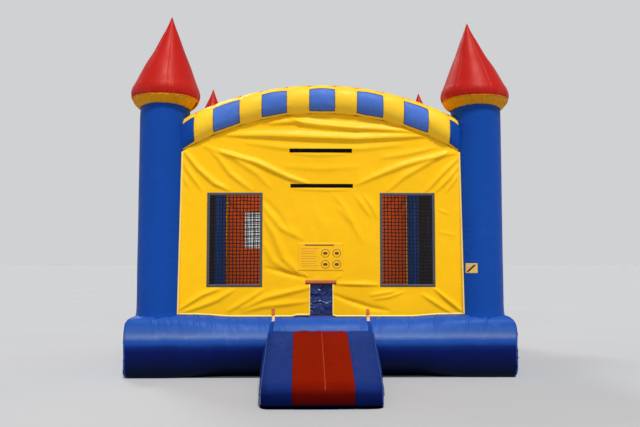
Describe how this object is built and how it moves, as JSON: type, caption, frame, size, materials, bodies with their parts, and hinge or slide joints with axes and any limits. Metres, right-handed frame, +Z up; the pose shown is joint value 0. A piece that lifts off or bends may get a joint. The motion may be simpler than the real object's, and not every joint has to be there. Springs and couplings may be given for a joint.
{
  "type": "inflatable bounce house",
  "caption": "Castle bounce house: four column towers with cones, arched front beam, net windows, netted sides, vaulted roof, ramp, anchor rings, inflation sleeve and blower.",
  "frame": {"origin": "on the ground under the middle of the square base", "axes": "+X to the right of a visitor facing the entrance, +Y from the entrance to the back, +Z up"},
  "size_m": [4.642, 7.5174, 4.3924],
  "materials": {
    "ground_vinyl": "matt coated vinyl",
    "blue_vinyl": "satin PVC-coated polyester",
    "web_fabric": "uncoated webs",
    "yellow_vinyl": "satin PVC-coated polyester",
    "red_vinyl": "satin PVC-coated polyester",
    "flap_vinyl": "thin glossy vinyl",
    "black_net": "knotless cord net",
    "grey_binding": "folded binding tape",
    "hook_and_loop": "hook-and-loop tape",
    "printed_patch": "printed vinyl patch",
    "orange_webbing": "woven webbing",
    "black_webbing": "woven webbing",
    "zinc_steel": "zinc plated",
    "zip_tape": "coil zip",
    "zip_metal": "cast slider",
    "blower_plastic": "moulded polyethylene",
    "impeller_plastic": "moulded nylon",
    "motor_paint": "painted",
    "switch_plastic": "glossy rocker"
  },
  "bodies": {
    "castle": {"front_base_tube": "blue_vinyl", "right_base_tube": "blue_vinyl", "rear_base_tube": "blue_vinyl", "left_base_tube": "blue_vinyl", "ground_sheet": "ground_vinyl", "bounce_floor": "blue_vinyl", "floor_baffles": "web_fabric", "front_left_column": "blue_vinyl", "front_left_collar": "yellow_vinyl", "front_left_cone": "red_vinyl", "front_right_column": "blue_vinyl", "front_right_collar": "yellow_vinyl", "front_right_cone": "red_vinyl", "rear_left_column": "blue_vinyl", "rear_left_collar": "yellow_vinyl", "rear_left_cone": "red_vinyl", "rear_right_column": "blue_vinyl", "rear_right_collar": "yellow_vinyl", "rear_right_cone": "red_vinyl", "front_arch_beam": "yellow_vinyl", "front_arch_blue_panels": "blue_vinyl", "rear_arch_beam": "yellow_vinyl", "rear_arch_blue_panels": "blue_vinyl", "left_top_beam": "blue_vinyl", "right_top_beam": "blue_vinyl", "roof_cover": "yellow_vinyl", "front_wall": "yellow_vinyl", "front_window_bindings": "grey_binding", "front_window_nets": "black_net", "rear_wall": "yellow_vinyl", "rear_window_binding": "grey_binding", "rear_window_net": "black_net", "left_side_net": "black_net", "right_side_net": "black_net", "side_net_bindings": "grey_binding", "banner_strips": "hook_and_loop", "info_patch": "printed_patch", "entrance_header_strap": "orange_webbing", "column_patch": "printed_patch", "ramp_cushion": "blue_vinyl", "ramp_red_tread": "red_vinyl", "ramp_tie_straps": "orange_webbing", "ramp_tie_tabs": "blue_vinyl", "anchor_webbing": "black_webbing", "deflation_zip_tape": "zip_tape", "inflation_sleeve": "blue_vinyl", "sleeve_strap": "black_webbing", "blower_housing": "blower_plastic", "blower_motor": "motor_paint", "blower_intake_guard": "zinc_steel"},
    "left_flap": {"entrance_flap_left": "flap_vinyl"},
    "right_flap": {"entrance_flap_right": "flap_vinyl"},
    "zip_slider": {"deflation_zip_slider": "zip_metal"},
    "fan": {"blower_impeller": "impeller_plastic", "blower_shaft": "zinc_steel"},
    "rocker": {"blower_switch": "switch_plastic"},
    "ring_front_left": {"anchor_ring_front_left": "zinc_steel"},
    "ring_front_right": {"anchor_ring_front_right": "zinc_steel"},
    "ring_rear_left": {"anchor_ring_rear_left": "zinc_steel"},
    "ring_rear_right": {"anchor_ring_rear_right": "zinc_steel"}
  },
  "joints": [
    {"name": "left_flap_swing", "type": "hinge", "parent": "castle", "child": "left_flap", "pos_m": [-0.08, -2.0855, 1.104], "axis": [1, 0, 0], "range_deg": [0, 75]},
    {"name": "right_flap_swing", "type": "hinge", "parent": "castle", "child": "right_flap", "pos_m": [0.08, -2.0855, 1.104], "axis": [1, 0, 0], "range_deg": [0, 75]},
    {"name": "ring_front_left_swing", "type": "hinge", "parent": "castle", "child": "ring_front_left", "pos_m": [-2.288, -1.79, 0.168], "axis": [0, 1, 0], "range_deg": [0, 150]},
    {"name": "ring_front_right_swing", "type": "hinge", "parent": "castle", "child": "ring_front_right", "pos_m": [2.288, -1.79, 0.168], "axis": [0, -1, 0], "range_deg": [0, 150]},
    {"name": "ring_rear_left_swing", "type": "hinge", "parent": "castle", "child": "ring_rear_left", "pos_m": [-2.288, 1.79, 0.168], "axis": [0, 1, 0], "range_deg": [0, 150]},
    {"name": "ring_rear_right_swing", "type": "hinge", "parent": "castle", "child": "ring_rear_right", "pos_m": [2.288, 1.79, 0.168], "axis": [0, -1, 0], "range_deg": [0, 150]},
    {"name": "zip_slide", "type": "slide", "parent": "castle", "child": "zip_slider", "axis": [-1, 0, 0], "range_m": [0, 0.57]},
    {"name": "fan_spin", "type": "hinge", "parent": "castle", "child": "fan", "pos_m": [-1.25, 3.33, 0.26], "axis": [1, 0, 0], "continuous": true},
    {"name": "rocker_tilt", "type": "hinge", "parent": "castle", "child": "rocker", "pos_m": [-1.475, 3.33, 0.356], "axis": [0, -1, 0], "range_deg": [0, 14]}
  ]
}
